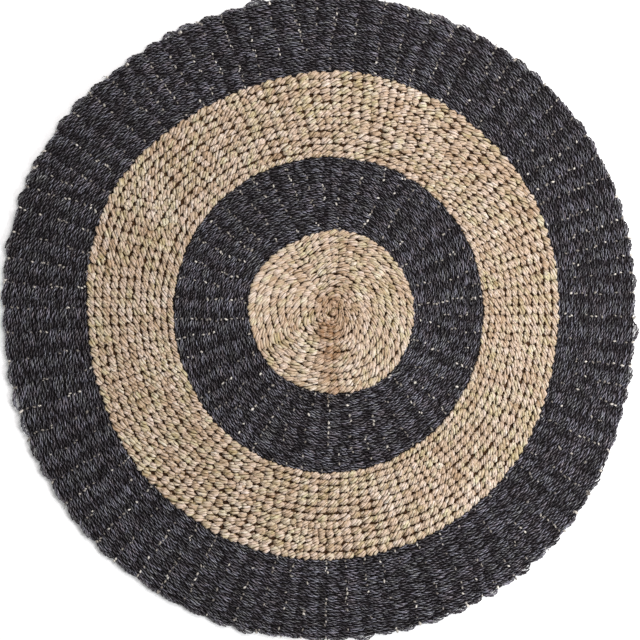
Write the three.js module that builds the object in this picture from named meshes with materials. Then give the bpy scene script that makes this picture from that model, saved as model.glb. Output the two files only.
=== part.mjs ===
import * as THREE from 'three';
import { mergeVertices } from 'three/addons/utils/BufferGeometryUtils.js';

// Round seagrass rug, face up and flat on the floor, in millimetres
// It is woven in one piece from the middle outwards, so it is one solid: a thin disc with a
// flat underside, a rounded edge and the slightly lopsided outline that hand weaving gives.
// +Z points up, and the origin is on the floor under the middle of the rug.

// Driving sizes
const EDGE_RADIUS = 750;
const EDGE_HEIGHT = 12.8;
const WARP_LOOPS = 86; // natural cord loops that turn back at the edge
const STEPS_PER_LOOP = 3;
const SCALLOP_DEPTH = 5; // from the top of a scallop to the notch beside it
const RIB_HEIGHT = 0.7; // the radial ribs of the outer black ring, above and below its mean
const WEAVE_SWELL = 1.2; // how far the top rises and falls over the width of the rug

// How the edge strays from a true circle: so many waves round it, each with its crest here
const OUTLINE_WAVES = [
  { waves: 2, swing: 6.1, crestDeg: -81 },
  { waves: 3, swing: 5.5, crestDeg: 45 },
  { waves: 4, swing: 4.7, crestDeg: -40 },
  { waves: 5, swing: 2.3, crestDeg: 23 },
  { waves: 6, swing: 1.5, crestDeg: 28 },
];

// The rounded edge from the floor up: how far in from the outline, and how high
const EDGE_SECTION = [
  { inset: 4, height: 0 },
  { inset: 0.9, height: 3 },
  { inset: 0, height: 6.4 },
  { inset: 1.2, height: 9.8 },
  { inset: 5, height: EDGE_HEIGHT },
];

// Rings of the top from the edge inwards. The rows were not woven round one centre, so each
// place where the colour changes is a circle with a centre of its own.
const TOP_RINGS = [
  { name: 'middle of the outer black ring', radius: 655, height: 13.2, centreX: 2.1, centreY: 1.9 },
  { name: 'outer black to natural', radius: 561, height: 13.4, centreX: 4.2, centreY: 3.7 },
  { name: 'natural to inner black', radius: 364, height: 13.8, centreX: 17.3, centreY: 6.5 },
  { name: 'inner black to the centre', radius: 191, height: 13.8, centreX: 24.1, centreY: 10.3 },
];
const CENTRE = { height: 14.4, centreX: 26, centreY: 16 };

const degrees = Math.PI / 180;

// Distance from the middle to the edge at an angle, with the scallop of each warp loop
function edgeRadius(angle) {
  let radius = EDGE_RADIUS;
  for (const { waves, swing, crestDeg } of OUTLINE_WAVES) {
    radius += swing * Math.cos(waves * (angle - crestDeg * degrees));
  }
  const acrossLoop = Math.abs(Math.cos((WARP_LOOPS / 2) * angle));
  return radius + SCALLOP_DEPTH * (acrossLoop - 0.6);
}

// How much of the edge's lopsidedness reaches a circle further in
function strayAt(radius, angle) {
  const share = radius / EDGE_RADIUS;
  return (edgeRadius(angle) - EDGE_RADIUS) * share ** 3;
}

// Soft rise and fall of the top, since woven grass never lies quite level
function swellAt(radius, angle) {
  const share = radius / EDGE_RADIUS;
  return WEAVE_SWELL * 0.5 * share * (1 - share) * 4 * Math.sin(3 * angle + 1) * Math.cos(2 * angle);
}

// Half the section of the disc: underside, rounded edge, top. Every point of it is a ring.
function sectionRings() {
  const rings = [{ radius: 0, place: () => [0, 0, 0] }];
  for (const { inset, height } of EDGE_SECTION) {
    const rib = height === EDGE_HEIGHT ? RIB_HEIGHT : 0;
    rings.push({
      radius: EDGE_RADIUS - inset,
      place: (angle) => {
        const radius = edgeRadius(angle) - inset;
        const lift = height + rib * Math.cos(WARP_LOOPS * angle);
        return [radius * Math.cos(angle), radius * Math.sin(angle), lift];
      },
    });
  }
  for (const [index, ring] of TOP_RINGS.entries()) {
    const rib = index === 0 ? RIB_HEIGHT : 0;
    rings.push({
      radius: ring.radius,
      place: (angle) => {
        const radius = ring.radius + strayAt(ring.radius, angle);
        const lift = ring.height + swellAt(ring.radius, angle) + rib * Math.cos(WARP_LOOPS * angle);
        return [
          ring.centreX + radius * Math.cos(angle),
          ring.centreY + radius * Math.sin(angle),
          lift,
        ];
      },
    });
  }
  rings.push({ radius: 0, place: () => [CENTRE.centreX, CENTRE.centreY, CENTRE.height] });
  return rings;
}

// The section turned round the middle, then each ring moved to its real place
function rugGeometry() {
  const rings = sectionRings();
  const steps = WARP_LOOPS * STEPS_PER_LOOP;
  const profile = rings.map((ring, index) => new THREE.Vector2(ring.radius, index));
  const turned = new THREE.LatheGeometry(profile, steps);
  const position = turned.attributes.position;
  for (let column = 0; column <= steps; column += 1) {
    const angle = ((column % steps) / steps) * Math.PI * 2;
    rings.forEach((ring, row) => {
      position.setXYZ(column * rings.length + row, ...ring.place(angle));
    });
  }
  turned.deleteAttribute('normal');
  turned.deleteAttribute('uv');
  const geometry = mergeVertices(turned);
  geometry.computeBoundingBox();
  const middle = geometry.boundingBox.getCenter(new THREE.Vector3());
  geometry.translate(-middle.x, -middle.y, 0);
  geometry.computeVertexNormals();
  return geometry;
}

const seagrass = new THREE.MeshStandardMaterial({
  color: 0x2e2c30,
  roughness: 0.85,
  metalness: 0,
});

const rug = new THREE.Mesh(rugGeometry(), seagrass);
rug.name = 'rug';

const roundRug = new THREE.Group();
roundRug.add(rug);

export default roundRug;
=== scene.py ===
"""Looks of the round seagrass rug: every visible pass of its cords as geometry, with materials.

The rug lies on the plane z = 0, in metres. A place on it is given by its row radius (how far
from the middle the row would be in a perfect circle) and its angle, and placed() turns that
into the slightly lopsided shape that hand weaving gave the real one.
"""

import math
from collections import namedtuple

import bpy
import numpy as np
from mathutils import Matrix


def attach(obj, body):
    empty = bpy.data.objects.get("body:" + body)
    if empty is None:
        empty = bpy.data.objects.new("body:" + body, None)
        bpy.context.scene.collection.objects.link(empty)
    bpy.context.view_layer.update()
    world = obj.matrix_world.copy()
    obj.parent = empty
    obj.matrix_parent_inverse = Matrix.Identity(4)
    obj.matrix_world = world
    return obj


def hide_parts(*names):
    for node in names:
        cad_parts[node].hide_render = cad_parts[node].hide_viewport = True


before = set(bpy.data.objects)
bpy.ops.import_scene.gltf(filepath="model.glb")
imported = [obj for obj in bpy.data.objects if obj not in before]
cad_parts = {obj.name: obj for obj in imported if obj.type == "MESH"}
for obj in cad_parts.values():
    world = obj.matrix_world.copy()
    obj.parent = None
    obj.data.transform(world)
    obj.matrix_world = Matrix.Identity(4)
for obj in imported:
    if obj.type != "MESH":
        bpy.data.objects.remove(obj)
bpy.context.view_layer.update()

MM = 0.001
TURN = 2 * math.pi
SEED = 41

# Photo frame, 640 x 640 pixels: where the middle of the rug's edge is, and the scale
PHOTO_SIZE_PX = 640
PHOTO_MIDDLE_PX = (321.3, 317.0)
METRES_PER_PX = 2.336 * MM

# Where the colours change, from the middle out, in mm. Each circle has its own centre and strays
# from round by a few waves: {waves round it: (swing in mm, angle of a crest in degrees)}.
Edge = namedtuple("Edge", "radius centre_x centre_y waves")
EDGES = (
    Edge(0, 27.3, 21.0, {}),
    Edge(30, 27.0, 19.0, {2: (7.0, 90)}),
    Edge(191, 24.1, 10.3, {2: (2.2, -21), 3: (2.5, 59), 4: (1.5, -25), 5: (1.3, 11)}),
    Edge(364, 17.3, 6.5, {2: (3.6, 86), 3: (1.8, 36), 4: (0.9, -42)}),
    Edge(561, 4.2, 3.7, {2: (7.8, -87), 3: (4.0, 43), 4: (3.1, -34), 5: (2.8, 13), 6: (2.6, 26)}),
    Edge(750, 0.0, 0.0, {2: (6.1, -81), 3: (5.5, 45), 4: (4.7, -40), 5: (2.3, 23), 6: (1.5, 28)}),
)
CENTRE_EDGE, INNER_EDGE, NATURAL_EDGE, RIM = (edge.radius * MM for edge in EDGES[2:])

# Rows of each ring. The natural ring's get wider outwards, and the last ends inside the rim.
CENTRE_ROWS = 12
INNER_BLACK_ROWS = 15
NATURAL_ROWS = 12
NATURAL_GROWTH = 0.22
OUTER_BLACK_ROWS = 15
RIM_MARGIN = 4 * MM

# Pairs of warp cords that a row crosses, by its radius in mm
WARP_PAIRS = (
    (12, 6), (93, 16), (187, 27), (234, 33), (318, 47),
    (465, 66), (561, 77), (701, 86), (750, 86),
)
FIRST_WARP = 0.4  # angle of the first pair, in radians
WARP_WANDER = 0.9 * MM  # how far a pair strays from one row to the next
WARP_EVENING = 0.22  # how much of its way to the middle of its neighbours it goes at each row
GAP_CHANCE = 0.3  # how far chance, and not width, picks the gap where a new pair starts


def wave_table():
    """Strays of the edges as complex numbers, one column for each count of waves."""
    counts = sorted({m for edge in EDGES for m in edge.waves})
    table = np.zeros((len(EDGES), len(counts)), complex)
    for row, edge in enumerate(EDGES):
        for m, (swing, crest) in edge.waves.items():
            table[row, counts.index(m)] = swing * MM * np.exp(-1j * m * math.radians(crest))
    return counts, table


WAVE_COUNTS, WAVES = wave_table()
EDGE_RADII = np.array([edge.radius for edge in EDGES]) * MM
CENTRES = np.array([(edge.centre_x, edge.centre_y) for edge in EDGES]) * MM


def placed_raw(radius, theta):
    """x and y of a place on the rug, before its box is centred on the origin."""
    stray = np.zeros_like(radius)
    for column, m in enumerate(WAVE_COUNTS):
        swing = np.interp(radius, EDGE_RADII, WAVES[:, column].real)
        turn = np.interp(radius, EDGE_RADII, WAVES[:, column].imag)
        stray += swing * np.cos(m * theta) - turn * np.sin(m * theta)
    x = np.interp(radius, EDGE_RADII, CENTRES[:, 0]) + (radius + stray) * np.cos(theta)
    y = np.interp(radius, EDGE_RADII, CENTRES[:, 1]) + (radius + stray) * np.sin(theta)
    return x, y


def box_middle():
    """The middle of the rug's outline box, which the CAD solid has at its origin."""
    theta = np.linspace(0, TURN, 2881)
    x, y = placed_raw(np.full_like(theta, RIM), theta)
    return (x.min() + x.max()) / 2, (y.min() + y.max()) / 2


MIDDLE = box_middle()


def placed(radius, theta, z):
    """Points of the rug from row radius, angle and height, which are arrays of one shape."""
    x, y = placed_raw(radius, theta)
    return np.stack([x - MIDDLE[0], y - MIDDLE[1], z], -1)


# Rows and the warps that they cross


def row_radii(inner, outer, rows, growth=0.0):
    """Middles of the rows of a ring. Rows get wider outwards by growth, as a share of the mean."""
    widths = 1 + growth * (np.arange(rows) / (rows - 1) - 0.5)
    widths *= (outer - inner) / widths.sum()
    return inner + np.cumsum(widths) - widths / 2


RADII = {
    "centre": row_radii(0.0, CENTRE_EDGE, CENTRE_ROWS),
    "inner_black": row_radii(CENTRE_EDGE, INNER_EDGE, INNER_BLACK_ROWS),
    "natural": row_radii(INNER_EDGE, NATURAL_EDGE, NATURAL_ROWS, NATURAL_GROWTH),
    "outer_black": row_radii(NATURAL_EDGE, RIM - RIM_MARGIN, OUTER_BLACK_ROWS),
}
ALL_RADII = np.concatenate(list(RADII.values()))


def row_key(radius):
    return round(float(radius), 6)


def grown_warps(rng):
    """Angles of the warp pairs at each row, from the middle out: new ones start in wide gaps."""
    at, pairs = np.array(WARP_PAIRS, float).T
    first = WARP_PAIRS[0][1]
    angles = np.arange(first) * TURN / first + FIRST_WARP
    rows = {}
    for radius in ALL_RADII:
        wanted = round(float(np.interp(radius, at * MM, pairs)))
        while len(angles) < wanted:
            gaps = np.diff(np.append(angles, angles[0] + TURN))
            widest = int(np.argmax(gaps * (1 + GAP_CHANCE * rng.random(len(gaps)))))
            angles = np.insert(angles, widest + 1, angles[widest] + gaps[widest] / 2)
        before = np.roll(angles, 1)
        before[0] -= TURN
        after = np.roll(angles, -1)
        after[-1] += TURN
        wander = WARP_WANDER / radius * rng.standard_normal(len(angles))
        angles = angles + WARP_EVENING * ((before + after) / 2 - angles) + wander
        rows[row_key(radius)] = angles
    return rows


WARPS = grown_warps(np.random.default_rng(SEED))


def warps_and_gaps(radius):
    """Each warp pair's angle at a row, and the way to the next, in radians."""
    angles = WARPS[row_key(radius)]
    return angles, np.diff(np.append(angles, angles[0] + TURN))


# Meshes


def mesh_object(name, points, quads, caps=None):
    """A smooth mesh object from points, four-cornered faces and many-cornered end faces."""
    mesh = bpy.data.meshes.new(name)
    corners = quads.ravel()
    starts = np.arange(len(quads)) * 4
    if caps is not None:
        starts = np.append(starts, len(corners) + np.arange(len(caps)) * caps.shape[1])
        corners = np.append(corners, caps.ravel())
    mesh.vertices.add(len(points))
    mesh.vertices.foreach_set("co", points.astype(np.float32).ravel())
    mesh.loops.add(len(corners))
    mesh.loops.foreach_set("vertex_index", corners.astype(np.int32))
    mesh.polygons.add(len(starts))
    mesh.polygons.foreach_set("loop_start", starts.astype(np.int32))
    mesh.polygons.foreach_set("use_smooth", np.ones(len(starts), bool))
    mesh.update(calc_edges=True)
    piece = bpy.data.objects.new(name, mesh)
    bpy.context.scene.collection.objects.link(piece)
    return piece


def add_map(piece, name, uv):
    layer = piece.data.uv_layers.new(name=name, do_init=False)
    layer.uv.foreach_set("vector", uv.astype(np.float32).ravel())


def add_numbers(piece, name, values):
    """One number for each point, for the materials."""
    layer = piece.data.attributes.new(name, "FLOAT", "POINT")
    layer.data.foreach_set("value", values.astype(np.float32))


# Cords. A stitch is one visible pass of a cord, and its ends go down between its neighbours.
# radius, theta: the place of its middle. length: from end to end. heading: its direction, 0 along
# the row and 90 degrees straight out. bulge: how far its middle lies out from its ends. crest: the
# top of its middle. foot: the middle of the cord at its ends. slim_start, slim_end: how much
# thinner it gets there. lean: of the plies that cross it, with + for plies that go outwards.
# shift: where its first ply starts, in plies. tone: from 0 for dark grass to 1 for pale.
Stitches = namedtuple(
    "Stitches",
    "radius theta length heading bulge half_width half_height crest foot"
    " slim_start slim_end lean shift tone",
)

# How the plies of a cord lie. offset: of each from the cord's middle. thickness: of each, both as
# shares of the cord's half size. oval: how much wider than high a ply is. reach: how far round
# the cord from its top each turn is followed. least: how much of it must show for it to be made.
# uneven: how far plies stray. sharp: how suddenly the cord thins near its ends. sides, steps: how
# many corners a ply has round it, and how many steps along a turn.
Lay = namedtuple("Lay", "plies offset thickness oval reach least uneven sharp sides steps")
NATURAL_LAY = Lay(
    plies=6, offset=0.60, thickness=0.45, oval=1.15, reach=math.radians(80),
    least=5 * MM, uneven=1.2, sharp=2, sides=4, steps=3,
)
CENTRE_LAY = NATURAL_LAY._replace(steps=4)
BLACK_LAY = Lay(
    plies=3, offset=0.53, thickness=0.46, oval=1.12, reach=math.radians(80),
    least=3 * MM, uneven=1.0, sharp=3, sides=4, steps=2,
)
RIM_LAY = Lay(
    plies=4, offset=0.58, thickness=0.42, oval=1.12, reach=math.radians(76),
    least=6 * MM, uneven=0.4, sharp=3, sides=4, steps=4,
)
WARP_LAY = Lay(
    plies=2, offset=0.4, thickness=0.68, oval=1.12, reach=math.radians(80),
    least=2.5 * MM, uneven=1.0, sharp=3, sides=5, steps=2,
)
# The heart of a cord is one ply in its middle, so straight that all of it is a single turn. Its
# twist stands in for the offset where the length of a turn is worked out.
HEART_LAY = Lay(
    plies=1, offset=0.0, thickness=0.4, oval=3.0, reach=math.radians(80),
    least=0, uneven=0.0, sharp=2, sides=6, steps=2,
)
HEART_TWIST = 1000.0
LEAST_LEAN = math.radians(12)

ARCH = 2.4  # power of a stitch's drop towards its ends: the higher, the flatter its top
BULGE_SKEW = 0.3  # how much more a stitch bulges past its middle than before it
PLY_TAPER = 0.3  # how much thinner a ply is where it dips out of sight
PLACE_STRAY = 0.12  # of a ply along its cord, in plies
HEIGHT_STRAY = 0.35 * MM
THICKNESS_STRAY = 0.1
LEAST_RADIUS = 0.1 * MM
LEAST_HEIGHT = 0.3 * MM  # above the floor
TONE_STRAY = 0.45  # of a ply from its stitch, from the darkest to the palest
CORD_MAP_STRAY = 3.0  # metres, so that no two plies have the same fibres
CELL_MARGIN = 0.06  # round each ply's cell of the bake map


def scattered(rng, mean, spread, count):
    return mean + spread * np.clip(rng.standard_normal(count), -2.2, 2.2)


def unit(vectors):
    return vectors / np.linalg.norm(vectors, axis=-1, keepdims=True)


def visible_plies(s, lay):
    """Turns of plies that show: stitch, middle along it, radians a metre, first and last angle."""
    lean = np.maximum(np.abs(s.lean), LEAST_LEAN)
    spacing = TURN * (lay.offset or HEART_TWIST) * s.half_width / lay.plies / np.tan(lean)
    rate = TURN / lay.plies / spacing
    most = math.ceil(float(np.max(s.length / spacing)) / 2) + 1
    number = np.arange(-most, most + 1)[None, :]
    centre = (number + s.shift[:, None]) * spacing[:, None]
    half = s.length[:, None] / 2
    low = np.maximum(-lay.reach, (-half - centre) * rate[:, None])
    high = np.minimum(lay.reach, (half - centre) * rate[:, None])
    stitch, column = np.nonzero(high - low > lay.least * rate[:, None])
    return stitch, centre[stitch, column], rate[stitch], low[stitch, column], high[stitch, column]


def ply_points(s, lay, rng):
    """Points of the visible plies (ply, step, side, xyz), the stitch of each, and its length."""
    stitch, centre, rate, low, high = visible_plies(s, lay)
    count = len(centre)
    centre = centre + scattered(rng, 0, PLACE_STRAY * lay.uneven, count) * TURN / lay.plies / rate
    col = {f: getattr(s, f)[stitch][:, None] for f in s._fields}
    share = np.linspace(0, 1, lay.steps + 1)[None, :]
    turn = low[:, None] + (high - low)[:, None] * share
    along = centre[:, None] + turn / rate[:, None]
    u = np.clip(along / (col["length"] / 2), -1, 1)

    # Directions at each step: ahead along the stitch, across it, and up out of its back
    top = col["crest"] - col["half_height"]
    drop = col["foot"] - top
    slope = drop * ARCH * np.sign(u) * np.abs(u) ** (ARCH - 1) / (col["length"] / 2)
    tilt = np.arctan(slope)[..., None]
    heading = col["heading"] * np.ones_like(u)
    zero = np.zeros_like(u)
    ahead = np.stack([np.cos(heading), np.sin(heading), zero], -1)
    across = np.stack([-np.sin(heading), np.cos(heading), zero], -1)
    up = np.cos(tilt) * np.array([0, 0, 1]) - np.sin(tilt) * ahead

    # Middle line of the cord, and of each ply that winds round it
    path = along[..., None] * ahead
    path = path + (col["bulge"] * (1 - u**2) * (1 + BULGE_SKEW * u))[..., None] * across
    height = top + drop * np.abs(u) ** ARCH
    path[..., 2] += height + scattered(rng, 0, HEIGHT_STRAY * lay.uneven, count)[:, None]
    slim = 1 - np.where(u < 0, col["slim_start"], col["slim_end"]) * np.abs(u) ** lay.sharp
    hand = np.where(col["lean"] < 0, -1.0, 1.0)
    sideways = (np.sin(turn) * hand)[..., None] * across
    upwards = np.cos(turn)[..., None] * up
    reach = lay.offset * slim
    line = path + (reach * col["half_width"])[..., None] * sideways
    line = line + (reach * col["half_height"])[..., None] * upwards

    # Section of each ply, square to its run
    outward = sideways + upwards
    run = unit(np.gradient(line, axis=1))
    normal = unit(outward - (outward * run).sum(-1, keepdims=True) * run)
    binormal = np.cross(run, normal)
    taper = 1 - PLY_TAPER * np.abs(2 * share - 1) ** 3
    thick = lay.thickness * (col["half_width"] + col["half_height"]) / 2 * slim * taper
    thick = thick * scattered(rng, 1, THICKNESS_STRAY * lay.uneven, count)[:, None]
    angle = (math.pi + np.arange(lay.sides) * TURN / lay.sides)[:, None]
    ring = np.cos(angle) * normal[:, :, None] + lay.oval * np.sin(angle) * binormal[:, :, None]
    local = line[:, :, None] + thick[..., None, None] * ring

    # From the stitch's own directions to row radius, angle and height
    radius = np.maximum(col["radius"][..., None] + local[..., 1], LEAST_RADIUS)
    theta = col["theta"][..., None] + local[..., 0] / col["radius"][..., None]
    height = np.maximum(local[..., 2], LEAST_HEIGHT)
    lengths = np.linalg.norm(np.diff(line, axis=1), axis=-1).sum(1)
    return placed(radius, theta, height), stitch, lengths


def ply_faces(count, lay):
    """Walls and end faces of so many plies, as numbers of their points."""
    ring = np.arange(lay.sides)
    after = (ring + 1) % lay.sides
    step = np.arange(lay.steps)[:, None] * lay.sides
    ahead = step + lay.sides
    walls = np.stack([step + ring, step + after, ahead + after, ahead + ring], -1)
    ends = np.stack([ring[::-1], lay.steps * lay.sides + ring])
    base = np.arange(count)[:, None, None] * (lay.steps + 1) * lay.sides
    walls = (walls.reshape(1, -1, 4) + base).reshape(-1, 4)
    return walls, (ends[None] + base).reshape(-1, lay.sides)


def add_ply_maps(piece, lengths, lay, rng):
    """A map along the cords for the materials, and one for the bake with a cell for each ply."""
    count = len(lengths)
    step, side = np.meshgrid(np.arange(lay.steps), np.arange(lay.sides), indexing="ij")
    u = np.stack([step, step, step + 1, step + 1], -1) / lay.steps
    v = np.stack([side, side + 1, side + 1, side], -1) / lay.sides
    walls = np.stack([u, v], -1).reshape(1, -1, 2)

    # Metres along each ply, and turns round it from its hidden side
    stretch = np.stack([lengths, np.ones(count)], -1)[:, None]
    start = np.stack([rng.random(count) * CORD_MAP_STRAY, np.zeros(count)], -1)[:, None]
    ends = np.full((1, 2 * lay.sides, 2), 0.5)
    cord = [(part * stretch + start).reshape(-1, 2) for part in (walls, ends)]
    add_map(piece, "Cord", np.concatenate(cord))

    # A square grid of cells, with both end faces in the middle of the ply's cell
    across = math.ceil(math.sqrt(count))
    cell = np.stack([np.arange(count) % across, np.arange(count) // across], -1)[:, None]
    angle = np.arange(lay.sides) / lay.sides * TURN
    disc = 0.5 + 0.2 * np.stack([np.cos(angle), np.sin(angle)], -1)
    ends = np.concatenate([disc, disc])[None]
    corner = cell + CELL_MARGIN
    size = 1 - 2 * CELL_MARGIN
    bake = [((corner + size * part) / across).reshape(-1, 2) for part in (walls, ends)]
    add_map(piece, "OFBake", np.concatenate(bake))


def stitch_piece(name, s, lay, rng):
    """One joined mesh of many stitches, with its maps and the numbers that its material reads."""
    points, stitch, lengths = ply_points(s, lay, rng)
    walls, ends = ply_faces(len(points), lay)
    flat = points.reshape(-1, 3)
    piece = mesh_object(name, flat, walls, ends)
    add_ply_maps(piece, lengths, lay, rng)
    tone = s.tone[stitch] + TONE_STRAY * (rng.random(len(points)) - 0.5)
    add_numbers(piece, "tone", np.repeat(tone, (lay.steps + 1) * lay.sides))
    add_numbers(piece, "brown", browned(flat))
    return piece


# Where the grass is browner, in the photo's pixels: middle, radius, and how brown
Blotch = namedtuple("Blotch", "x y radius strength")
BLOTCHES = (
    Blotch(336, 304, 24, 0.7),
    Blotch(331, 330, 22, 1.0),
    Blotch(334, 352, 16, 1.0),
    Blotch(334, 374, 13, 0.8),
    Blotch(336, 394, 16, 0.7),
    Blotch(349, 284, 14, 0.5),
    Blotch(350, 243, 14, 0.5),
)
BLOTCH_EDGE = 1.6  # brown falls from full to none over the last 1 / 1.6 of the radius


def browned(points):
    """How brown the grass is at each point, from 0 to 1."""
    brown = np.zeros(points.shape[:-1])
    for spot in BLOTCHES:
        x = (spot.x - PHOTO_MIDDLE_PX[0]) * METRES_PER_PX - points[..., 0]
        y = (PHOTO_MIDDLE_PX[1] - spot.y) * METRES_PER_PX - points[..., 1]
        way = np.hypot(x, y) / (spot.radius * METRES_PER_PX)
        brown = np.maximum(brown, spot.strength * np.clip(BLOTCH_EDGE - BLOTCH_EDGE * way, 0, 1))
    return brown


# Stitches of each part of the rug


def joined(rows):
    return Stitches(*(np.concatenate(column) for column in zip(*rows)))


def part_of(s, low, high):
    """The stitches whose row radius lies between two limits."""
    chosen = (s.radius >= low) & (s.radius < high)
    return Stitches(*(column[chosen] for column in s))


# Lean of the plies by angle round the rug, both in degrees: + rises outwards along the row
CENTRE_LEANS = (
    (0, -36), (45, -30), (90, -28), (112, -26), (128, 26), (155, 34),
    (198, 32), (214, -26), (250, -30), (315, -40), (360, -36),
)
NATURAL_LEANS = (
    (0, -34), (45, -28), (90, -33), (135, -38), (180, -36),
    (225, -28), (270, -38), (315, -44), (360, -34),
)
BLACK_LEAN_DEG = 17
RIM_LEAN_DEG = 24

# How much a natural cord thins between stitches, and how high its middle is there
CENTRE_PINCH = 0.8
CENTRE_FOOT = 5.5 * MM
NATURAL_PINCH = 1.0
NATURAL_FOOT = 2.8 * MM

WARP_GLINT_CHANCE = 0.5
RIM_END_CHANCE = 0.6


def lean_at(leans, theta):
    return np.radians(np.interp(np.degrees(np.mod(theta, TURN)), *zip(*leans)))


def natural_stitches(radii, leans, rng, pinch, foot):
    """Two stitches from each warp pair to the next, on every row, with holes where pinched."""
    rows = []
    for radius, pitch in zip(radii, np.gradient(radii)):
        theta, gap = warps_and_gaps(radius)
        middle = np.concatenate([theta + gap * 0.25, theta + gap * 0.75])
        gap = np.concatenate([gap, gap]) / 2
        count = len(middle)
        lean = lean_at(leans, middle) + np.radians(scattered(rng, 0, 5, count))
        rows.append(
            Stitches(
                radius=radius + scattered(rng, 0, 0.9 * MM, count),
                theta=middle + scattered(rng, 0, 1.2 * MM, count) / radius,
                length=gap * radius * scattered(rng, 1.6 - 0.34 * pinch, 0.06, count),
                heading=0.2 * lean + np.radians(scattered(rng, 0, 3, count)),
                bulge=scattered(rng, 1.2, 0.5, count) * MM,
                half_width=scattered(rng, 0.75, 0.05, count) * pitch,
                half_height=np.full(count, 5.4 * MM),
                crest=scattered(rng, 14.6, 0.5, count) * MM,
                foot=np.full(count, foot),
                slim_start=scattered(rng, 0.64, 0.1, count) * pinch,
                slim_end=scattered(rng, 0.76, 0.1, count) * pinch,
                lean=lean,
                shift=rng.random(count),
                tone=0.3 + 0.4 * rng.random(count),
            )
        )
    return joined(rows)


def hearts(s):
    """The inside of the cords, which shows in the creases between their plies."""
    count = len(s.radius)
    return s._replace(
        length=0.66 * s.length,
        crest=s.crest - 1.4 * MM,
        shift=np.zeros(count),
        lean=np.full(count, math.radians(45)),
    )


def black_stitches(radii, rng):
    """Two rows of thin cord at each radius, with a high and a low pass from pair to pair."""
    rows = []
    pitch = float(np.mean(np.diff(radii)))
    for radius in radii:
        theta, gap = warps_and_gaps(radius)
        count = len(theta)
        for side in (-0.25, 0.25):
            for high in (True, False):
                at = theta + gap * (0.30 if high else 0.80)
                rows.append(
                    Stitches(
                        radius=radius + side * pitch + scattered(rng, 0, 0.5 * MM, count),
                        theta=at + scattered(rng, 0, 2.2 * MM, count) / radius,
                        length=gap * radius * scattered(rng, 0.66 if high else 0.54, 0.04, count),
                        heading=np.radians(scattered(rng, -2, 5, count)),
                        bulge=scattered(rng, 0.3, 0.3, count) * MM,
                        half_width=scattered(rng, 0.30, 0.015, count) * pitch,
                        half_height=np.full(count, 3.3 * MM),
                        crest=scattered(rng, 14.4 if high else 12.3, 0.6, count) * MM,
                        foot=np.full(count, 7.5 * MM),
                        slim_start=np.full(count, 0.25),
                        slim_end=np.full(count, 0.35),
                        lean=np.radians(scattered(rng, BLACK_LEAN_DEG, 5, count)),
                        shift=rng.random(count),
                        # High passes are paler and low ones darker: painted light on the raised
                        # passes, painted shade on the deep ones.
                        tone=rng.random(count) * 0.6 + (0.38 if high else 0.08),
                    )
                )
    return joined(rows)


def warp_glints(rng):
    """Bits of the natural warps that show between the passes of the black rows."""
    rows = []
    for radius in np.concatenate([RADII["inner_black"], RADII["outer_black"]]):
        theta, _ = warps_and_gaps(radius)
        theta = theta[rng.random(len(theta)) < WARP_GLINT_CHANCE]
        count = len(theta)
        rows.append(
            Stitches(
                radius=radius + scattered(rng, 0, 1.5 * MM, count),
                theta=theta + scattered(rng, 0, 1.2 * MM, count) / radius,
                length=scattered(rng, 8.0, 1.2, count) * MM,
                heading=np.radians(scattered(rng, 80, 40, count)),
                bulge=np.zeros(count),
                half_width=scattered(rng, 4.0, 0.6, count) * MM,
                half_height=np.full(count, 2.8 * MM),
                crest=scattered(rng, 13.4, 1.0, count) * MM,
                foot=np.full(count, 7.0 * MM),
                slim_start=np.full(count, 0.3),
                slim_end=np.full(count, 0.3),
                lean=np.full(count, math.radians(30)),
                shift=rng.random(count),
                tone=0.9 * rng.random(count) ** 2.6,
            )
        )
    return joined(rows)


def rim_stitches(rng):
    """The weft's last turn, which bulges out between each pair of warps and the next."""
    radius = RADII["outer_black"][-1]
    theta, gap = warps_and_gaps(radius)
    count = len(theta)
    return Stitches(
        radius=np.full(count, RIM - 11.5 * MM) + scattered(rng, 0, 0.8 * MM, count),
        theta=theta + gap * scattered(rng, 0.5, 0.05, count),
        length=gap * radius * scattered(rng, 1.1, 0.05, count),
        heading=np.radians(scattered(rng, 3, 4, count)),
        bulge=scattered(rng, 9.0, 2.5, count) * MM,
        half_width=scattered(rng, 6.3, 0.4, count) * MM,
        half_height=np.full(count, 5.0 * MM),
        crest=scattered(rng, 11.5, 0.5, count) * MM,
        foot=np.full(count, 5.0 * MM),
        slim_start=np.full(count, 0.3),
        slim_end=np.full(count, 0.5),
        lean=np.radians(scattered(rng, RIM_LEAN_DEG, 3, count)),
        shift=rng.random(count),
        tone=rng.random(count) * 0.7 + 0.15,
    )


def rim_ends(rng):
    """Ends of the natural warps that turn back round the last row of weft."""
    radius = RADII["outer_black"][-1]
    theta, _ = warps_and_gaps(radius)
    theta = theta[rng.random(len(theta)) < RIM_END_CHANCE]
    count = len(theta)
    return Stitches(
        radius=RIM - scattered(rng, 5.5, 1.2, count) * MM,
        theta=theta + scattered(rng, 0, 2.0 * MM, count) / radius,
        length=scattered(rng, 13, 2, count) * MM,
        heading=np.radians(scattered(rng, 75, 20, count)),
        bulge=np.zeros(count),
        half_width=scattered(rng, 5.2, 0.8, count) * MM,
        half_height=np.full(count, 4.2 * MM),
        crest=scattered(rng, 12.6, 0.8, count) * MM,
        foot=np.full(count, 5.0 * MM),
        slim_start=np.full(count, 0.7),
        slim_end=np.full(count, 0.7),
        lean=np.full(count, math.radians(20)),
        shift=rng.random(count),
        tone=0.2 + 0.7 * rng.random(count),
    )


# Materials


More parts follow.
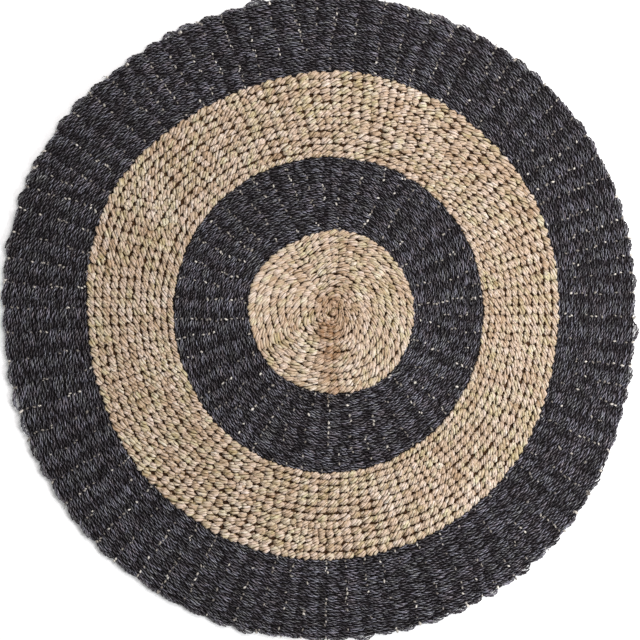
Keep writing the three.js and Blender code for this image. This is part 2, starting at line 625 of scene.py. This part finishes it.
class Shader:
    """Short calls that add nodes to one material."""

    def __init__(self, name):
        self.material = bpy.data.materials.new(name)
        self.material.use_nodes = True
        self.tree = self.material.node_tree
        self.bsdf = self.tree.nodes["Principled BSDF"]

    def feed(self, socket, value):
        if isinstance(value, bpy.types.NodeSocket):
            self.tree.links.new(value, socket)
        else:
            socket.default_value = value

    def paint(self, **inputs):
        """Sets or links inputs of the surface, with _ for a space in their names."""
        for key, value in inputs.items():
            self.feed(self.bsdf.inputs[key.replace("_", " ")], value)

    def add(self, kind, settings=None, **inputs):
        made = self.tree.nodes.new(kind)
        for key, value in (settings or {}).items():
            setattr(made, key, value)
        for key, value in inputs.items():
            self.feed(made.inputs[key.replace("_", " ")], value)
        return made

    def math(self, operation, *values):
        made = self.add("ShaderNodeMath", {"operation": operation})
        for socket, value in zip(made.inputs, values):
            self.feed(socket, value)
        return made.outputs[0]

    def noise(self, vector, scale, detail=2.0, roughness=0.5):
        inputs = {"Vector": vector, "Scale": scale, "Detail": detail, "Roughness": roughness}
        return self.add("ShaderNodeTexNoise", **inputs).outputs["Fac"]

    def stretched(self, vector, scale):
        return self.add("ShaderNodeMapping", Vector=vector, Scale=scale).outputs["Vector"]

    def number(self, attribute):
        return self.add("ShaderNodeAttribute", {"attribute_name": attribute}).outputs["Fac"]

    def remap(self, value, low, high, to_low=0.0, to_high=1.0):
        made = self.add("ShaderNodeMapRange", {"clamp": True})
        for socket, number in zip(made.inputs[:5], (value, low, high, to_low, to_high)):
            self.feed(socket, number)
        return made.outputs["Result"]

    def ramp(self, value, stops):
        made = self.add("ShaderNodeValToRGB")
        self.feed(made.inputs["Fac"], value)
        band = made.color_ramp
        while len(band.elements) < len(stops):
            band.elements.new(0.5)
        for element, (at, colour) in zip(band.elements, stops):
            element.position = at
            element.color = (*colour, 1)
        return made.outputs["Color"]

    def mix(self, kind, amount, a, b):
        made = self.add("ShaderNodeMix", {"data_type": "RGBA", "blend_type": kind})
        sockets = [i for i in made.inputs if i.type == "RGBA"]
        self.feed(made.inputs[0], amount)
        self.feed(sockets[0], a)
        self.feed(sockets[1], b)
        return next(o for o in made.outputs if o.type == "RGBA")

    def bump(self, height, strength, distance):
        made = self.add("ShaderNodeBump", Strength=strength, Distance=distance, Height=height)
        return made.outputs["Normal"]


def srgb(red, green, blue):
    """Linear colour from the usual 0 to 255 numbers."""
    return tuple(((c / 255 + 0.055) / 1.055) ** 2.4 for c in (red, green, blue))


# tones: the dry grass, from its darkest to its palest. tints: how its hue strays, as factors. The
# next three set painted shade on each ply's flanks, where they turn down into the creases: its
# colour, how far round a ply from its crown it begins and is full, in turns, and how much of it
# shows. strand_dark, fibre_dark, floor_dark: the darkest painted shade between strands, between
# fibres and low down, as factors. specular: the level at a ply's crown. gloss: the shares of it
# that dark and pale passes have.
Cord = namedtuple(
    "Cord",
    "tones tints crease_colour crease_at crease strand_dark fibre_dark floor_dark"
    " roughness specular gloss bump",
)

NATURAL_CORD = Cord(
    tones=(
        (0.10, srgb(146, 118, 88)),
        (0.28, srgb(183, 159, 131)),
        (0.44, srgb(201, 181, 157)),
        (0.60, srgb(212, 195, 176)),
        (0.76, srgb(225, 213, 199)),
        (0.92, srgb(240, 233, 224)),
    ),
    tints=(
        (0.34, (0.93, 0.98, 0.78)),
        (0.44, (0.98, 0.99, 0.93)),
        (0.54, (1.0, 0.94, 0.95)),
        (0.66, (0.90, 0.82, 0.74)),
    ),
    # Painted shade on the ply flanks: its colour, where it lies and how much of it shows.
    crease_colour=srgb(136, 112, 74),
    crease_at=(0.15, 0.32),
    crease=0.8,
    strand_dark=0.5,
    fibre_dark=0.65,
    floor_dark=0.36,
    roughness=0.7,
    specular=0.25,
    gloss=(1.0, 1.0),
    bump=0.8,
)
PALE_WARP = NATURAL_CORD._replace(
    tones=(
        (0.25, srgb(118, 112, 106)),
        (0.45, srgb(166, 160, 151)),
        (0.72, srgb(222, 217, 208)),
    ),
    tints=((0.3, (0.98, 0.99, 0.96)), (0.7, (1.0, 0.97, 0.98))),
    # Painted shade on the ply flanks, fainter than on the natural cord.
    crease_colour=srgb(110, 106, 102),
    crease=0.3,
    strand_dark=0.8,
)
# The cords' inside: the same grass, made darker and more olive than the cord as painted shade for
# the creases where it shows.
NATURAL_HEART_SHADE = NATURAL_CORD._replace(
    tones=(
        (0.20, srgb(150, 128, 92)),
        (0.80, srgb(194, 172, 134)),
    ),
    crease=0.0,
)
BLACK_CORD = Cord(
    tones=(
        (0.15, srgb(30, 26, 28)),
        (0.40, srgb(48, 43, 46)),
        (0.60, srgb(72, 68, 73)),
        (0.85, srgb(130, 127, 136)),
    ),
    tints=(
        (0.36, (1.0, 0.86, 0.84)),
        (0.45, (0.95, 0.90, 1.0)),
        (0.54, (0.86, 0.92, 1.0)),
        (0.64, (0.95, 1.0, 0.86)),
    ),
    # Painted shade on the ply flanks: its colour, where it lies and how much of it shows.
    crease_colour=srgb(32, 28, 30),
    crease_at=(0.10, 0.30),
    crease=0.85,
    strand_dark=0.8,
    fibre_dark=0.6,
    floor_dark=0.5,
    roughness=0.4,
    specular=1.0,
    gloss=(0.4, 1.0),
    bump=0.6,
)
BROWN_FACTOR = srgb(192, 165, 136)
STRANDS = 6.0  # round each ply


def grass_colour(s, cord, where, along, strand):
    """Tone and hue of the grass: by pass, by strand, and in patches."""
    pick = s.math("MULTIPLY", s.number("tone"), 0.5)
    for source, amount in (
        (s.noise(where, 60.0, 3.0), 0.5),
        (s.noise(where, 6.0, 2.0), 0.3),
        (strand, 0.8),
    ):
        pick = s.math("MULTIPLY_ADD", s.math("SUBTRACT", source, 0.5), amount, pick)
    colour = s.ramp(s.math("ADD", pick, 0.25), cord.tones)
    by_pass = s.math("MULTIPLY", s.noise(s.stretched(along, (9.0, 0.0, 1.0)), 1.0, 0.0), 0.5)
    stray = s.math("MULTIPLY_ADD", s.noise(where, 30.0, 2.0), 0.5, by_pass)
    return s.mix("MULTIPLY", 1.0, colour, s.ramp(stray, cord.tints))


def cord_material(name, cord):
    """Twisted grass: each pass has its own tone, with fibres that run along its plies."""
    s = Shader(name)
    where = s.add("ShaderNodeTexCoord").outputs["Object"]
    height = s.add("ShaderNodeSeparateXYZ", Vector=where).outputs["Z"]
    along = s.add("ShaderNodeUVMap", {"uv_map": "Cord"}).outputs["UV"]
    turns = s.add("ShaderNodeSeparateXYZ", Vector=along).outputs["Y"]
    flank = s.math("ABSOLUTE", s.math("SUBTRACT", turns, 0.5))
    strand = s.noise(s.stretched(along, (60.0, 8.0, 1.0)), 1.0, 1.0)
    fibre = s.noise(s.stretched(along, (110.0, 30.0, 1.0)), 1.0, 2.0, 0.6)
    wander = s.noise(s.stretched(along, (60.0, 1.0, 1.0)), 1.0, 1.0)
    split = s.math("PINGPONG", s.math("MULTIPLY_ADD", turns, STRANDS, wander), 0.5)

    # Colour of the grass, painted shade on the ply flanks by the creases between plies,
    # and the brown patches
    colour = grass_colour(s, cord, where, along, strand)
    crease = s.remap(flank, *cord.crease_at, 0.0, cord.crease)
    colour = s.mix("MIX", crease, colour, (*cord.crease_colour, 1))
    mottle = s.remap(s.noise(where, 80.0, 2.0), 0.35, 0.6, 0.4, 1.0)
    brown = s.math("MULTIPLY", s.number("brown"), mottle)
    colour = s.mix("MULTIPLY", brown, colour, (*BROWN_FACTOR, 1))

    # Shade between fibres and strands, and low down between the cords
    shade = s.remap(fibre, 0.3, 0.62, cord.fibre_dark, 1.0)
    shade = s.math("MULTIPLY", shade, s.remap(split, 0.0, 0.2, cord.strand_dark, 1.0))
    shade = s.math("MULTIPLY", shade, s.remap(height, 3 * MM, 10 * MM, cord.floor_dark, 1.0))
    grey = s.add("ShaderNodeCombineColor", Red=shade, Green=shade, Blue=shade).outputs["Color"]

    # Relief of the fibres and strands, and gloss on the crowns of the high, pale passes. The gloss
    # is cut on the ply flanks, low down and on dark passes, as painted shade over the reflections.
    relief = s.math("MULTIPLY_ADD", strand, 0.8, fibre)
    relief = s.math("MULTIPLY_ADD", s.remap(split, 0.0, 0.25), 0.5, relief)
    gloss = s.remap(s.number("tone"), 0.2, 0.6, *cord.gloss)
    gloss = s.math("MULTIPLY", gloss, s.remap(height, 7 * MM, 12 * MM, 0.1, 1.0))
    crown = s.remap(flank, *cord.crease_at, cord.specular, 0.1 * cord.specular)
    s.paint(
        Base_Color=s.mix("MULTIPLY", 1.0, colour, grey),
        Normal=s.bump(relief, cord.bump, 0.6 * MM),
        Roughness=s.remap(fibre, 0.3, 0.7, cord.roughness + 0.1, cord.roughness - 0.1),
        Specular_IOR_Level=s.math("MULTIPLY", gloss, crown),
    )
    return s.material


def core_material(name, dark, pale):
    """The weave's mottled body under the passes: painted shade on its top, own colours below."""
    s = Shader(name)
    where = s.add("ShaderNodeTexCoord").outputs["Object"]
    s.paint(
        Base_Color=s.ramp(s.noise(where, 90.0, 3.0), ((0.3, dark), (0.7, pale))),
        Normal=s.bump(s.noise(where, 500.0, 2.0), 0.6, 1 * MM),
        Roughness=0.9,
        Specular_IOR_Level=0.1,
    )
    return s.material


# The rug's body under the visible passes

CORE_TURNS = 258  # corners round it, three for each warp pair at the rim
CORE_HOLE = 1 * MM  # radius of the small faces that close it in the middle
CORE_TOP = 6 * MM
CORE_GROOVE = 1.4 * MM  # between the rows of its underside
CORE_EDGE = ((7 * MM, 1 * MM), (6 * MM, 3.5 * MM), (8 * MM, CORE_TOP))  # inside the rim, and height
UNDERSIDE_EDGE = 9 * MM  # inside the rim
COLOUR_SPILL = 4 * MM  # black of the core that reaches under the natural rings


def core_section():
    """Half its section, from the middle underneath round to the top: radii, heights, rows below."""
    between = (ALL_RADII[1:] + ALL_RADII[:-1]) / 2
    under = np.sort(np.concatenate([ALL_RADII, between]))
    under = under[under < RIM - UNDERSIDE_EDGE]
    grooves = CORE_GROOVE * (np.arange(len(under)) % 2)
    section = [(CORE_HOLE, 0.0), *zip(under, grooves)]
    section += [(RIM - inside, height) for inside, height in CORE_EDGE]
    section += [(radius, CORE_TOP) for radius in ALL_RADII[-2::-1]]
    section += [(CORE_HOLE, CORE_TOP)]
    radii, heights = np.array(section).T
    return radii, heights, len(under)


def core_piece():
    """The closed body of the weave, with its rows as low ridges on the underside."""
    radii, heights, rows_below = core_section()
    theta = np.linspace(0, TURN, CORE_TURNS, endpoint=False)
    radius, theta = np.meshgrid(radii, theta, indexing="ij")
    points = placed(radius, theta, heights[:, None] * np.ones(CORE_TURNS))
    ring = np.arange(CORE_TURNS)
    after = (ring + 1) % CORE_TURNS
    step = np.arange(len(radii) - 1)[:, None] * CORE_TURNS
    ahead = step + CORE_TURNS
    quads = np.stack([step + ring, ahead + ring, ahead + after, step + after], -1).reshape(-1, 4)
    caps = np.stack([ring, ((len(radii) - 1) * CORE_TURNS + ring)[::-1]])
    piece = mesh_object("rug_core", points.reshape(-1, 3), quads, caps)
    # The top's two colours show only in the gaps between the passes, and are painted shade. The
    # underside's two are the grass's own colours.
    for paint in (
        core_material("natural_core_shade", srgb(36, 22, 12), srgb(72, 48, 28)),
        core_material("black_core_shade", srgb(20, 17, 18), srgb(36, 32, 34)),
        core_material("natural_underside", srgb(140, 112, 80), srgb(206, 186, 160)),
        core_material("black_underside", srgb(34, 30, 31), srgb(80, 76, 82)),
    ):
        piece.data.materials.append(paint)
    middles = (radii[:-1] + radii[1:]) / 2
    black = (middles > CENTRE_EDGE - COLOUR_SPILL) & (middles < INNER_EDGE + COLOUR_SPILL)
    black |= middles > NATURAL_EDGE - COLOUR_SPILL
    below = np.arange(len(middles)) < rows_below
    paints = np.append(np.repeat(black + 2 * below, CORE_TURNS), [2, 0])
    piece.data.polygons.foreach_set("material_index", paints.astype(np.int32))
    return piece


# Camera, light and floor

LENS_MM = 85.0
SENSOR_MM = 36.0
FLOOR_SIZE = 16.0


def add_camera():
    """Straight down from above, framed as the photo is."""
    eye = bpy.data.cameras.new("camera")
    eye.lens = LENS_MM
    eye.sensor_width = SENSOR_MM
    camera = bpy.data.objects.new("camera", eye)
    camera.location = (
        (PHOTO_SIZE_PX / 2 - PHOTO_MIDDLE_PX[0]) * METRES_PER_PX - MIDDLE[0],
        (PHOTO_MIDDLE_PX[1] - PHOTO_SIZE_PX / 2) * METRES_PER_PX - MIDDLE[1],
        PHOTO_SIZE_PX * METRES_PER_PX * LENS_MM / SENSOR_MM,
    )
    bpy.context.scene.collection.objects.link(camera)
    bpy.context.scene.camera = camera


def add_lamp(name, azimuth, elevation, distance, size, energy, colour):
    """A round soft lamp that shines at the middle of the rug. Angles are in degrees."""
    lamp = bpy.data.lights.new(name, "AREA")
    lamp.shape = "DISK"
    lamp.size = size
    lamp.energy = energy
    lamp.color = colour
    made = bpy.data.objects.new(name, lamp)
    azimuth, elevation = math.radians(azimuth), math.radians(elevation)
    made.location = (
        distance * math.cos(elevation) * math.cos(azimuth),
        distance * math.cos(elevation) * math.sin(azimuth),
        distance * math.sin(elevation),
    )
    made.rotation_euler = (math.pi / 2 - elevation, 0, azimuth + math.pi / 2)
    bpy.context.scene.collection.objects.link(made)


def add_light():
    """A broad lamp from the upper right, a small one for the cords' gloss, and a white world."""
    add_lamp("key", 50, 50, distance=3.2, size=2.2, energy=105, colour=(1.0, 0.97, 0.97))
    add_lamp("glint", -32, 36, distance=2.6, size=0.8, energy=55, colour=(0.97, 0.98, 1.0))
    world = bpy.data.worlds.new("studio")
    world.use_nodes = True
    world.node_tree.nodes["Background"].inputs["Color"].default_value = (1, 1, 1, 1)
    world.node_tree.nodes["Background"].inputs["Strength"].default_value = 0.5
    bpy.context.scene.world = world
    bpy.context.scene.view_settings.view_transform = "Standard"


def add_floor():
    corners = np.array([(-1, -1, 0), (1, -1, 0), (1, 1, 0), (-1, 1, 0)]) * FLOOR_SIZE / 2
    plane = mesh_object("floor", corners, np.array([[0, 1, 2, 3]]))
    s = Shader("floor_paint")
    s.paint(Base_Color=(0.9, 0.9, 0.9, 1), Roughness=0.9)
    plane.data.materials.append(s.material)


# The pieces


def weave_parts(rng):
    """Name, stitches, lay, finish and slot of each piece of the weave. rng: one for each kind."""
    centre = natural_stitches(RADII["centre"], CENTRE_LEANS, rng[0], CENTRE_PINCH, CENTRE_FOOT)
    band = natural_stitches(RADII["natural"], NATURAL_LEANS, rng[1], NATURAL_PINCH, NATURAL_FOOT)
    inner = black_stitches(RADII["inner_black"], rng[2])
    outer = black_stitches(RADII["outer_black"], rng[3])
    glints = warp_glints(rng[4])
    rim = rim_stitches(rng[5])
    ends = rim_ends(rng[6])

    # The widest rings are two pieces each, so that none has too many triangles
    split = (INNER_EDGE + NATURAL_EDGE) / 2 + 8 * MM
    band_inside = part_of(band, 0, split)
    band_outside = part_of(band, split, math.inf)
    split = (NATURAL_EDGE + RIM) / 2
    outer_inside = part_of(outer, 0, split)
    outer_outside = part_of(outer, split, math.inf)

    cord = cord_material("natural_cord", NATURAL_CORD)
    shaded_heart = cord_material("natural_heart_shade", NATURAL_HEART_SHADE)
    warp = cord_material("pale_warp", PALE_WARP)
    black = cord_material("black_cord", BLACK_CORD)
    return (
        ("centre_weave", centre, CENTRE_LAY, cord, "natural_seagrass"),
        ("natural_inner_rows", band_inside, NATURAL_LAY, cord, "natural_seagrass"),
        ("natural_outer_rows", band_outside, NATURAL_LAY, cord, "natural_seagrass"),
        ("centre_hearts", hearts(centre), HEART_LAY, shaded_heart, "natural_seagrass"),
        ("natural_hearts", hearts(band), HEART_LAY, shaded_heart, "natural_seagrass"),
        ("inner_black_weave", inner, BLACK_LAY, black, "black_seagrass"),
        ("outer_black_inner_rows", outer_inside, BLACK_LAY, black, "black_seagrass"),
        ("outer_black_outer_rows", outer_outside, BLACK_LAY, black, "black_seagrass"),
        ("rim_weft", rim, RIM_LAY, black, "black_seagrass"),
        ("warp_glints", glints, WARP_LAY, warp, "natural_seagrass"),
        ("rim_warp_ends", ends, WARP_LAY, warp, "natural_seagrass"),
    )


def main():
    rng = [np.random.default_rng(SEED + k) for k in range(1, 9)]
    for name, stitches, lay, finish, slot in weave_parts(rng[:7]):
        piece = stitch_piece(name, stitches, lay, rng[7])
        piece.data.materials.append(finish)
        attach(piece, "root")

    core = core_piece()
    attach(core, "root")
    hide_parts("rug")
    add_camera()
    add_light()
    add_floor()


main()
